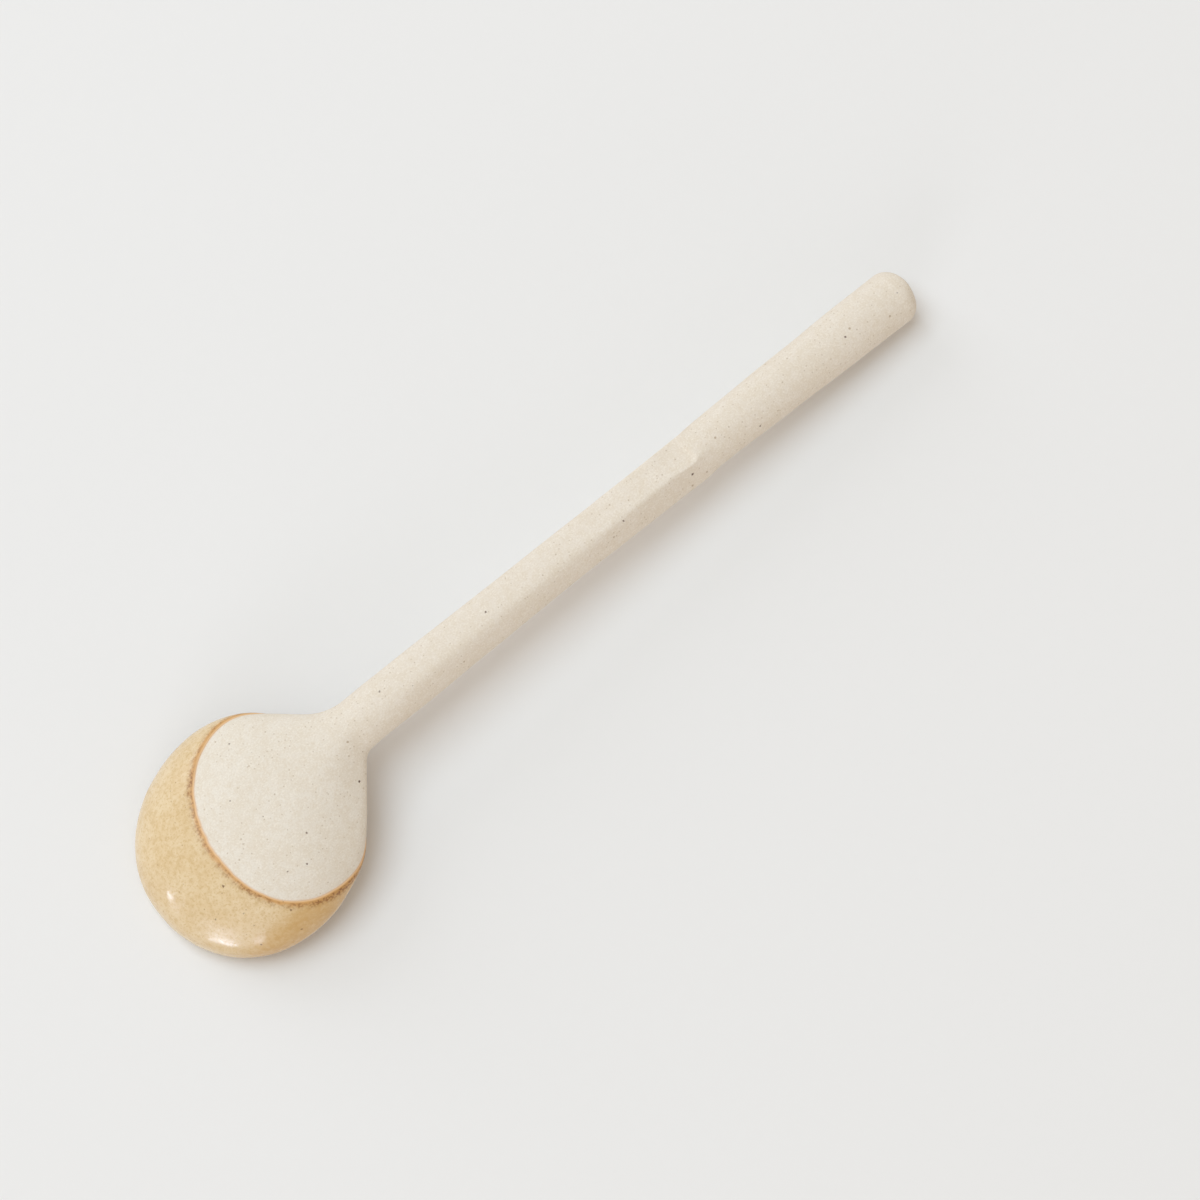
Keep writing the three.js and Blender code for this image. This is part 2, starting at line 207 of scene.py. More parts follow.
def clayLift(points):
    # unevenness of the clay's surface, gone at the joint so that the pieces meet
    lift = bowl["swellHeight"] * wobble(points, bowl["swellSize"], 1)
    lift += bowl["dentHeight"] * wobble(points, bowl["dentSize"], 2)
    return lift * ease(np.abs(points[..., 0] - jointX) / bowl["calmReach"])


def bothSides(turns):
    return np.concatenate([-turns[::-1], turns[1:]])


# glaze coat: where it ends and how thick it is
coat = {
    "thickness": 0.42, "edgeThickness": 0.05, "bed": 0.2,  # over and under the clay's surface
    "feather": (1.8, 0.5), "featherFrom": 0.7, "featherOver": 0.3,  # thins out faster on the flanks
    "neckReach": 18.4, "dipLevel": 8.7, "dipSlope": 24.0, "dipLean": 2.5,
    "wrapLeft": (82.0, 128.0), "wrapRight": (95.0, 128.0), "wrapTurn": (1.44, 1.72),  # curves under by the neck
    "waveHeight": 0.10, "waveSize": 3.4, "waveRun": 30.0,  # uneven dip line
    "waveOnDip": 1.6, "waveOnFlank": 0.3, "waveOnNeck": 2.0, "calmReach": 2.0,
    "rippleHeight": 0.045, "rippleSize": 4.6,
    "pebbleHeight": 0.012, "pebbleSize": 1.1,
    "rollHeight": 0.42, "rollAt": 3.2, "rollWidth": 2.4,  # the glaze ran thicker towards the rim there
    "rollTurn": -0.42, "rollReach": 0.5, "rollSoft": 0.3, "rollCalm": 3.0,
    "tipSteps": 90, "neckSteps": 60, "profileSteps": 150, "edgeCrowding": 0.35, "searchPast": 8, "searchSteps": 400,
}


def dipDepth(points):
    x, y, z = points[..., 0], points[..., 1], points[..., 2]
    plane = coat["dipLevel"] - x * math.tan(math.radians(coat["dipSlope"]))
    plane = plane + y * math.tan(math.radians(coat["dipLean"]))
    return plane - (z - rimPlane(x))


def rowLength(turns, angles):
    # distance over the clay along each row of a grid
    points = claySkin(turns, angles)
    steps = np.linalg.norm(np.diff(points, axis=1), axis=-1)
    return np.concatenate([np.zeros((len(points), 1)), np.cumsum(steps, axis=1)], axis=1)


def dipAngles(turns):
    # angle on each row where the coat starts: the dip plane, or the edge where that lies dry
    furthest = math.radians(max(coat["wrapRight"]) + coat["searchPast"])
    fine = np.linspace(0, furthest, coat["searchSteps"])[None, :]
    depth = dipDepth(claySkin(turns[:, None], fine, 0.0))  # the hollow doesn't bend the dip line
    length = rowLength(turns[:, None], fine)
    starts = []
    for row, turn in enumerate(turns):
        first, last = coat["wrapTurn"]
        wrap = coat["wrapLeft"] if turn >= 0 else coat["wrapRight"]
        wrap = math.radians(mix(*wrap, ease((abs(turn) - first) / (last - first))))
        wet = np.interp(0, depth[row], length[row])
        onEdge = np.interp(wrap, fine[0], length[row])
        wave = noise.noise(Vector((turn * coat["waveRun"] / coat["waveSize"], 3.3, 7.7)))
        wave = coat["waveHeight"] * coat["waveOnDip"] * wave
        start = min(wet + wave, onEdge + wave * coat["waveOnFlank"])
        starts.append(np.interp(start, length[row], fine[0]))
    return np.array(starts)


def edgeDistance(turns, angles):
    # distance from the coat's edge over the surface: above 0 in the glaze, below 0 on the bare clay
    length = rowLength(turns[:, None], angles)
    starts = dipAngles(turns)
    startLength = [np.interp(start, row, line) for start, row, line in zip(starts, angles, length)]
    return length - np.array(startLength)[:, None]


# placing on the frame: the joint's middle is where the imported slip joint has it
slipLow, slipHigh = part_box("slip_joint")
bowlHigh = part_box("bowl")[1]
jointHeight = rimPlane(bowl["neckReach"]) + bowl["neckRise"]
placeX = bowlHigh[0] / mm - bowl["neckReach"]
place = np.array([
    placeX,
    (slipLow[1] + slipHigh[1]) / 2 / mm - bowl["neckShift"],
    (slipLow[2] + slipHigh[2]) / 2 / mm - jointHeight - settle(slipLow[0] / mm - placeX),
])
tableHeight = -place[2]
noGlaze = -9  # edge distance of clay that is far from the coat


meshSet = {"joinWithin": 2e-6, "dropUnder": 1e-7, "crispAngle": 60}  # metres and degrees


def makePiece(name, points, faces, attributes):
    # closed, smooth mesh in metres in the row frame, with shared points joined
    mesh = bpy.data.meshes.new(name)
    mesh.from_pydata(((points + place) * mm).tolist(), [], faces)
    for label, values in attributes.items():
        layer = mesh.attributes.new(label, "FLOAT", "POINT")
        layer.data.foreach_set("value", np.asarray(values, dtype=np.float32).ravel())
    work = bmesh.new()
    work.from_mesh(mesh)
    bmesh.ops.remove_doubles(work, verts=work.verts, dist=meshSet["joinWithin"])
    bmesh.ops.dissolve_degenerate(work, edges=work.edges, dist=meshSet["dropUnder"])
    bmesh.ops.recalc_face_normals(work, faces=work.faces)
    for face in work.faces:
        face.smooth = True
    for edge in work.edges:  # the flat ends keep crisp edges
        edge.smooth = edge.calc_face_angle(0) < math.radians(meshSet["crispAngle"])
    work.to_mesh(mesh)
    work.free()
    piece = bpy.data.objects.new(name, mesh)
    bpy.context.collection.objects.link(piece)
    return piece


def gridFaces(rows, columns, start=0, isFlipped=False):
    faces = []
    for row in range(rows - 1):
        for column in range(columns - 1):
            a = start + row * columns + column
            corners = (a, a + columns, a + columns + 1, a + 1)
            faces.append(corners[::-1] if isFlipped else corners)
    return faces


def makeBowl():
    turns = bothSides(np.concatenate([
        np.linspace(0, 1, bowl["tipSteps"] + 1),
        np.linspace(1, 2, bowl["neckSteps"] + 1)[1:],
    ]))
    count = bowl["profileSteps"] + 1
    angles = np.repeat(np.linspace(0, halfTurn, count)[None, :], len(turns), axis=0)
    skin = claySkin(turns[:, None], angles)
    normal = skinNormal(turns[:, None], angles)
    points = skin + normal * clayLift(skin)[..., None]
    faces = gridFaces(len(turns), count)
    # flat end of the neck stub, in strips from back to underside
    last = (len(turns) - 1) * count
    for column in range(count // 2):
        under = count - 1 - column
        faces.append((column, column + 1, under - 1, under))
        faces.append((last + column + 1, last + column, last + under, last + under - 1))
    edge = edgeDistance(turns, angles)
    edge[np.abs(turns) > 1 + coat["neckReach"] / bowl["neckReach"]] = noGlaze  # bare so far up the neck
    return makePiece("bowl_clay", points.reshape(-1, 3), faces, {"edgeDistance": edge})


def makeCoat():
    lastTurn = 1 + coat["neckReach"] / bowl["neckReach"]
    turns = bothSides(np.concatenate([
        np.linspace(0, 1, coat["tipSteps"] + 1),
        np.linspace(1, lastTurn, coat["neckSteps"] + 1)[1:],
    ]))
    starts = dipAngles(turns)
    share = np.linspace(0, 1, coat["profileSteps"] + 1)
    share = mix(share, share ** 2, coat["edgeCrowding"])[None, :]  # closer steps at the dip line
    angles = starts[:, None] + (halfTurn - starts[:, None]) * share
    skin = claySkin(turns[:, None], angles)
    normal = skinNormal(turns[:, None], angles)
    length = rowLength(turns[:, None], angles)
    toNeckEnd = coat["neckReach"] - skin[..., 0]
    neckWave = coat["waveHeight"] * coat["waveOnNeck"] * wobble(skin, coat["waveSize"], 5)
    edge = np.minimum(length, np.maximum(0, toNeckEnd + neckWave * ease(toNeckEnd / coat["calmReach"])))
    toFlank = ease((np.abs(turns) - coat["featherFrom"]) / coat["featherOver"])
    feather = mix(*coat["feather"], toFlank)[:, None]
    build = mix(coat["edgeThickness"], coat["thickness"], 1 - np.exp(-edge / feather))
    ripple = coat["rippleHeight"] * wobble(skin, coat["rippleSize"], 3)
    ripple += coat["pebbleHeight"] * wobble(skin, coat["pebbleSize"], 4)
    rimLength = [np.interp(math.pi / 2, row, line) for row, line in zip(angles, length)]
    rim = length - np.array(rimLength)[:, None]
    roll = coat["rollHeight"] * np.exp(-((rim + coat["rollAt"]) / coat["rollWidth"]) ** 2)
    toRollEnd = coat["rollReach"] - np.abs(turns - coat["rollTurn"])
    roll = roll * ease(toRollEnd / coat["rollSoft"])[:, None] * ease(length / coat["rollCalm"])
    lift = clayLift(skin)
    outer = skin + normal * (lift + build + roll + ripple * ease(edge / coat["calmReach"]))[..., None]
    inner = skin + normal * (lift - coat["bed"])[..., None]
    outer[..., 2] = np.maximum(outer[..., 2], tableHeight)  # ground flat where the rim rests
    rows, columns = angles.shape
    half = rows * columns
    faces = gridFaces(rows, columns) + gridFaces(rows, columns, half, True)
    for row in range(rows - 1):  # dip edge
        a, b = row * columns, (row + 1) * columns
        faces.append((b, a, half + a, half + b))
    end = (rows - 1) * columns
    for column in range(columns - 1):  # edge under the neck
        faces.append((column, column + 1, half + column + 1, half + column))
        faces.append((end + column + 1, end + column, half + end + column, half + end + column + 1))
    points = np.concatenate([outer.reshape(-1, 3), inner.reshape(-1, 3)])
    both = {"edgeDistance": np.concatenate([edge, edge]), "rimDistance": np.concatenate([rim, rim])}
    return makePiece("glaze_skin", points, faces, both)


# handle: a rolled stick with a shaved middle and a cut end
handle = {
    "length": 114.4, "waistFromNeck": 54.0, "waistWidth": 8.1, "waistThickness": 7.85,
    "buttWidth": 9.65, "buttThickness": 9.3, "buttEdge": 3.0, "buttTop": 1.0, "bow": 1.5,
    "facetAngles": (74, 146, 218, 290, 362), "facetSharpness": (26.0, 6.0), "facetShare": 0.8,
    "facetFrom": 71.5, "facetFull": 67.0, "facetSoftAt": 40.0, "facetEnd": 12.0,  # runs from the joint
    "stopAngle": 72.0, "stopAt": 68.2, "stopBite": 0.8, "stopDepth": 0.85, "stopLength": 10.0,  # the knife's stop
    "stopSoft": 0.04, "stopFade": 0.06,
    "swellHeight": 0.09, "swellSize": 9.0, "dentHeight": 0.035, "dentSize": 2.6, "dentStretch": 2.5,
    "ringStep": 0.36, "sides": 120, "edgeSteps": 14, "capRings": 6,
}
handleStart = bowl["neckReach"] + slip["thickness"]


def alongHandle(run, neck, waist, butt):
    toWaist = mix(neck, waist, ease(run / handle["waistFromNeck"]))
    past = (run - handle["waistFromNeck"]) / (handle["length"] - handle["waistFromNeck"])
    return np.where(run < handle["waistFromNeck"], toWaist, mix(waist, butt, ease(past)))


def facetShape(run, phi):
    # section of a stick shaved with a knife, as a factor on the radius; crisp by the knife's stop, then softer
    crisp, soft = handle["facetSharpness"]
    power = mix(soft, crisp, ease((run - handle["facetSoftAt"]) / (handle["facetFull"] - handle["facetSoftAt"])))
    total = sum(np.maximum(1e-6, np.cos(phi - math.radians(a))) ** power for a in handle["facetAngles"])
    shape = total ** (-1 / power)
    return shape / shape.mean(axis=1, keepdims=True)


def handleAxis(run):
    straight = handle["length"] - handle["buttEdge"]
    share = np.minimum(1, run / straight)
    buttHeight = tableHeight + handle["buttThickness"] / 2
    y = mix(bowl["neckShift"], 0, share)
    z = mix(jointHeight, buttHeight, share) + 4 * handle["bow"] * share * (1 - share)
    return y, z + settle(handleStart + run)


def handleSkin(run, phi, inset):
    width = alongHandle(run, bowl["neckWidth"], handle["waistWidth"], handle["buttWidth"]) / 2
    thick = alongHandle(run, bowl["neckThickness"], handle["waistThickness"], handle["buttThickness"]) / 2
    width = width - handle["buttEdge"] * inset
    thick = thick - handle["buttTop"] * inset
    carved = ease((handle["facetFrom"] - run) / (handle["facetFrom"] - handle["facetFull"]))
    carved = carved * ease(run / handle["facetEnd"]) * handle["facetShare"]
    factor = mix(1, facetShape(run, phi), carved)
    y = width * np.cos(phi) * factor
    z = thick * np.sin(phi) * factor
    # the knife's stop: a scoop that bites in at its butt end and runs out towards the neck
    turn = math.radians(handle["stopAngle"])
    past = handle["stopAt"] - run
    depth = handle["stopDepth"] * ease(past / handle["stopBite"])
    depth = depth * (1 - ease((past - handle["stopBite"]) / handle["stopLength"]))
    reach = y * math.cos(turn) + z * math.sin(turn)
    crest = width * math.cos(turn) ** 2 + thick * math.sin(turn) ** 2
    over = (reach - crest + depth) / handle["stopSoft"]
    press = handle["stopSoft"] * np.logaddexp(0, over) * ease(depth / handle["stopFade"])
    y = y - press * math.cos(turn)
    z = z - press * math.sin(turn)
    x = np.broadcast_to(handleStart + run, y.shape)
    points = np.stack([x, y, z], -1)
    # unevenness left by the hand and the knife, drawn out along the stick
    stretched = points / np.array([handle["dentStretch"], 1, 1])
    lift = handle["swellHeight"] * wobble(points, handle["swellSize"], 6)
    lift += handle["dentHeight"] * wobble(stretched, handle["dentSize"], 7)
    lift = lift * ease(run / bowl["calmReach"])
    axisY, axisZ = handleAxis(run)
    points[..., 1] += lift * np.cos(phi) + axisY
    points[..., 2] += lift * np.sin(phi) + axisZ
    return points


def ringFaces(rings, sides):
    faces = []
    for ring in range(rings - 1):
        for side in range(sides):
            a, b = ring * sides + side, ring * sides + (side + 1) % sides
            faces.append((a, b, b + sides, a + sides))
    return faces


def makeHandle():
    straight = handle["length"] - handle["buttEdge"]
    runs = list(np.linspace(0, straight, int(straight / handle["ringStep"])))
    insets = [0.0] * len(runs)
    for turn in np.linspace(0, math.pi / 2, handle["edgeSteps"] + 1)[1:]:
        runs.append(straight + handle["buttEdge"] * math.sin(turn))
        insets.append(1 - math.cos(turn))
    phi = np.linspace(0, 2 * math.pi, handle["sides"], endpoint=False)[None, :]
    points = handleSkin(np.array(runs)[:, None], phi, np.array(insets)[:, None])
    # the cut face closes in rings towards its middle
    middle = points[-1].mean(axis=0)
    caps = [mix(points[-1], middle, k / handle["capRings"]) for k in range(1, handle["capRings"] + 1)]
    rings = np.concatenate([points, np.array(caps)])
    faces = ringFaces(len(rings), handle["sides"])
    faces.append(tuple(range(handle["sides"]))[::-1])
    rings[..., 2] = np.maximum(rings[..., 2], tableHeight)
    edge = np.full(rings.shape[:2], noGlaze)
    return makePiece("handle_stick", rings.reshape(-1, 3), faces, {"edgeDistance": edge})


def makeSlip():
    phi = np.linspace(0, 2 * math.pi, slip["sides"], endpoint=False)
    rings = []
    for share in np.linspace(0, 1, slip["steps"] + 1):
        x = bowl["neckReach"] + slip["thickness"] * share
        y = bowl["neckShift"] + bowl["neckWidth"] / 2 * np.cos(phi)
        z = jointHeight + settle(x) + bowl["neckThickness"] / 2 * np.sin(phi)
        rings.append(np.column_stack([np.full_like(y, x), y, z]))
    faces = ringFaces(len(rings), slip["sides"])
    last = (len(rings) - 1) * slip["sides"]
    faces.append(tuple(range(slip["sides"]))[::-1])
    faces.append(tuple(range(last, last + slip["sides"])))
    points = np.concatenate(rings)
    return makePiece("slip_seam", points, faces, {"edgeDistance": np.full(len(points), noGlaze)})


# small helpers for materials
def newMaterial(name):
    material = bpy.data.materials.new(name)
    material.use_nodes = True
    tree = material.node_tree
    return material, tree, tree.nodes["Principled BSDF"]


def addNode(tree, kind, settings=None, **inputs):
    node = tree.nodes.new(kind)
    for label, value in (settings or {}).items():
        setattr(node, label, value)
    for label, value in inputs.items():
        setInput(tree, node, label, value)
    return node


def setInput(tree, node, label, value):
    socket = node.inputs[int(label[1:])] if label[0] == "i" and label[1:].isdigit() else node.inputs[label]
    if isinstance(value, bpy.types.NodeSocket):
        tree.links.new(value, socket)
    else:
        socket.default_value = value


def calc(tree, operation, a, b=0.0):
    return addNode(tree, "ShaderNodeMath", {"operation": operation}, i0=a, i1=b).outputs[0]


def span(tree, value, low, high, toLow=0.0, toHigh=1.0):
    # smooth step of a value between two limits
    node = addNode(tree, "ShaderNodeMapRange", {"interpolation_type": "SMOOTHSTEP"}, i0=value, i1=low, i2=high,
                   i3=toLow, i4=toHigh)
    return node.outputs[0]


def blendColour(tree, share, a, b):
    node = tree.nodes.new("ShaderNodeMix")
    node.data_type = "RGBA"
    for index, value in ((0, share), (6, a), (7, b)):
        if isinstance(value, bpy.types.NodeSocket):
            tree.links.new(value, node.inputs[index])
        elif index == 0:
            node.inputs[0].default_value = value
        else:
            node.inputs[index].default_value = (*value, 1)
    return node.outputs[2]


def vectorCalc(tree, operation, a, **others):
    return addNode(tree, "ShaderNodeVectorMath", {"operation": operation}, i0=a, **others).outputs[0]


def distance(tree, a, b):
    return addNode(tree, "ShaderNodeVectorMath", {"operation": "DISTANCE"}, i0=a, i1=b).outputs["Value"]


def millimetres(tree):
    where = addNode(tree, "ShaderNodeTexCoord").outputs["Object"]
    return vectorCalc(tree, "SCALE", where, Scale=1 / mm)


def cloud(tree, where, size, detail=2.0, rough=0.5):
    node = addNode(tree, "ShaderNodeTexNoise", None, Vector=where, Scale=1 / size, Detail=detail, Roughness=rough)
    return node.outputs["Fac"]


def specks(tree, where, size, radius, share, strength):
    # round specks in a share of cells of that size
    node = addNode(tree, "ShaderNodeTexVoronoi", None, Vector=where, Scale=1 / size)
    chance = addNode(tree, "ShaderNodeSeparateColor", None, Color=node.outputs["Color"]).outputs["Red"]
    dot = span(tree, node.outputs["Distance"], radius / size * 1.25, radius / size * 0.6)
    dot = calc(tree, "MULTIPLY", dot, calc(tree, "LESS_THAN", chance, share))
    return calc(tree, "MULTIPLY", dot, strength)


def addBump(tree, shader, height, depth, strength):
    bump = addNode(tree, "ShaderNodeBump", None, Height=height, Strength=strength, Distance=depth * mm)
    tree.links.new(bump.outputs[0], shader.inputs["Normal"])


speckEdge = {"size": 0.25, "raggedness": 0.35, "outer": 1.6, "inner": 0.7}  # the last two are shares of the radius


def dotsAt(tree, where, places):
    # ragged specks, each given by its place, radius and strength
    ragged = addNode(tree, "ShaderNodeTexNoise", None, Vector=where, Scale=1 / speckEdge["size"], Detail=1.0)
    shift = vectorCalc(tree, "SUBTRACT", ragged.outputs["Color"], i1=(0.5, 0.5, 0.5))
    shift = vectorCalc(tree, "SCALE", shift, Scale=speckEdge["raggedness"])
    near = vectorCalc(tree, "ADD", where, i1=shift)
    dots = None
    for at, radius, strength in places:
        off = distance(tree, near, at)
        dot = span(tree, off, radius * speckEdge["outer"], radius * speckEdge["inner"], 0.0, strength)
        dots = dot if dots is None else calc(tree, "MAXIMUM", dots, dot)
    return dots


# bare clay
clay = {
    "bowlTone": (0.772, 0.72, 0.633), "handleTone": (0.766, 0.70, 0.61), "toneFrom": -52.0, "toneTo": -30.0,
    "warmTone": (0.69, 0.60, 0.47), "sandTone": (0.86, 0.80, 0.70), "tanTone": (0.46, 0.36, 0.25),
    "ironTone": (0.09, 0.04, 0.025), "flashTone": (0.74, 0.50, 0.32),
    "patchSize": 7.0, "patchStrength": 0.25, "blotchSize": 1.3, "blotchStrength": 0.34,  # sizes in millimetres
    "grainSize": 0.30, "sandStrength": 0.6, "warmStrength": 0.55, "flashSpan": (-0.4, 0.1), "flashStrength": 0.7,
    "grit": ((0.8, 0.13, 0.5, 0.50), (1.7, 0.16, 0.5, 0.62), (3.7, 0.22, 0.5, 0.80)),
    "pores": (1.5, 0.10, 0.4, 0.8),  # as the grit: cell, radius, share of the cells, strength
    "toothSize": 0.9, "toothShare": 0.8, "toothHeight": 0.05, "toothStrength": 0.55,
    "roughness": 0.9, "specular": 0.25,
}
# larger iron specks on the upper side: x and y in millimetres in the row frame, then radius and strength
ironSpecks = [
    (-54.1, 12.3, 0.13, 0.7), (-57.3, -0.6, 0.10, 0.6), (-56.7, -10.7, 0.15, 0.8), (-59.8, -9.7, 0.12, 0.7),
    (-41.9, -5.6, 0.18, 0.95), (-53.6, -7.0, 0.12, 0.7), (-59.8, 4.8, 0.11, 0.6), (-52.2, 8.7, 0.09, 0.5),
    (65.9, 0.6, 0.15, 0.8), (45.5, -1.9, 0.14, 0.7), (31.6, -1.2, 0.20, 0.9), (17.7, -0.3, 0.16, 0.75),
    (-9.1, 2.2, 0.16, 0.8), (-30.4, 3.0, 0.14, 0.65), (-25.7, 0.3, 0.10, 0.5), (77.6, 1.0, 0.12, 0.45),
]


def onTop(x, y, pieces):
    # the highest point of the pieces above that place, in millimetres
    hits = [piece.ray_cast(Vector((x, y, 50)) * mm, Vector((0, 0, -1))) for piece in pieces]
    return max((at / mm for isHit, at, normal, index in hits if isHit), key=lambda at: at.z)


def clayMaterial(pieces):
    material, tree, shader = newMaterial("bare_stoneware")
    where = millimetres(tree)
    along = addNode(tree, "ShaderNodeSeparateXYZ", None, Vector=where).outputs["X"]
    toHandle = span(tree, along, clay["toneFrom"], clay["toneTo"])
    colour = blendColour(tree, toHandle, clay["bowlTone"], clay["handleTone"])
    patches = span(tree, cloud(tree, where, clay["patchSize"], 3.0), 0.35, 0.75, 0.0, clay["patchStrength"])
    colour = blendColour(tree, patches, colour, clay["warmTone"])
    blotches = cloud(tree, where, clay["blotchSize"], 2.0, 0.6)
    blotches = span(tree, blotches, 0.35, 0.65, 0.0, clay["blotchStrength"])
    colour = blendColour(tree, blotches, colour, clay["warmTone"])
    # sandy grain: pale quartz and tan grit, finer than half a millimetre
    grain = cloud(tree, where, clay["grainSize"], 2.0, 0.6)
    sand = span(tree, grain, 0.50, 0.72, 0.0, clay["sandStrength"])
    colour = blendColour(tree, sand, colour, clay["sandTone"])
    warm = span(tree, grain, 0.50, 0.28, 0.0, clay["warmStrength"])
    colour = blendColour(tree, warm, colour, clay["warmTone"])
    for grit in clay["grit"]:
        colour = blendColour(tree, specks(tree, where, *grit), colour, clay["tanTone"])
    iron = dotsAt(tree, where, [(onTop(x, y, pieces), *speck) for x, y, *speck in ironSpecks])
    colour = blendColour(tree, iron, colour, clay["ironTone"])
    # orange flash on the clay beside the glaze
    edge = addNode(tree, "ShaderNodeAttribute", {"attribute_name": "edgeDistance"}).outputs["Fac"]
    isBeside = calc(tree, "LESS_THAN", calc(tree, "ABSOLUTE", edge), 1.0)
    flash = span(tree, edge, *clay["flashSpan"], 0.0, clay["flashStrength"])
    flash = calc(tree, "MULTIPLY", flash, isBeside)
    colour = blendColour(tree, flash, colour, clay["flashTone"])
    tree.links.new(colour, shader.inputs["Base Color"])
    shader.inputs["Roughness"].default_value = clay["roughness"]
    shader.inputs["Specular IOR Level"].default_value = clay["specular"]
    # fine tooth of the surface, with small open pores
    tooth = calc(tree, "MULTIPLY", cloud(tree, where, clay["toothSize"], 2.0), clay["toothShare"])
    height = calc(tree, "SUBTRACT", calc(tree, "ADD", grain, tooth), specks(tree, where, *clay["pores"]))
    addBump(tree, shader, height, clay["toothHeight"], clay["toothStrength"])
    return material


# honey glaze
glaze = {
    "honeyTone": (0.715, 0.545, 0.32), "ochreTone": (0.57, 0.385, 0.165), "creamTone": (0.80, 0.665, 0.455),
    # the rim's tone is a painted reflection of the pale floor
    "rimReflectionTone": (0.86, 0.71, 0.51), "lineTone": (0.63, 0.345, 0.12), "paleLineTone": (0.82, 0.58, 0.35),
    "rustTone": (0.27, 0.115, 0.035), "brownTone": (0.47, 0.25, 0.08), "speckTone": (0.15, 0.07, 0.03),
    "flankShadeTone": (0.58, 0.345, 0.11), "flankShadeFrom": -12.5, "flankShadeTo": -17.0,  # painted shade: darker ochre on the right flank, the side facing away from the lamps
    "broadSize": 6.0, "fineSize": 0.9, "dustSize": 0.35,  # mottling, in millimetres
    "broadCream": 0.4, "fineOchre": 0.42, "fineCream": 0.42, "dustOchre": 0.5, "flankShadeStrength": 0.75,
    # spans are distances from the rim or the dip line, from none to full
    "rimReflectionSpan": (0.9, 0.2), "rimReflectionStrength": 0.75, "lineSpan": (1.15, 0.35), "lineStrength": 0.95,
    "paleSpan": (0.30, 0.05), "paleStrength": 0.7, "drySpan": (1.6, 0.4),
    "beltStart": (0.2, 0.5), "beltEnd": (2.0, 0.5),
    "lineWave": 0.9, "lineWaveSize": 1.1, "rustSize": 1.5, "rustGrain": 0.40, "brownStrength": 0.85,
    "freckles": (1.3, 0.14, 0.4, 0.4), "darkSpecks": (4.5, 0.18, 0.35, 0.7),  # cell, radius, share, strength
    "roughness": (0.25, 0.16), "dryRoughness": 0.45,
    "rippleSize": 1.6, "rippleHeight": 0.03, "rippleStrength": 0.35,
}
# where rust gathers most along the dip line: x, y, z and reach in millimetres in the row frame, then the share
rustPlaces = [(-63.0, 10.6, 13.1, 5.0, 0.6), (-54.0, -15.8, 8.8, 8.0, 1.0), (-64.5, -8.5, 13.4, 4.0, 0.5)]
# larger specks in the coat's back, given in the same way as those of the clay
coatSpecks = [
    (-69.2, -4.8, 0.19, 0.85), (-73.5, -7.7, 0.14, 0.6), (-63.3, -14.5, 0.17, 0.7),
    (-63.9, -17.6, 0.16, 0.65), (-69.4, -10.1, 0.13, 0.5), (-69.4, -12.5, 0.11, 0.45),
]


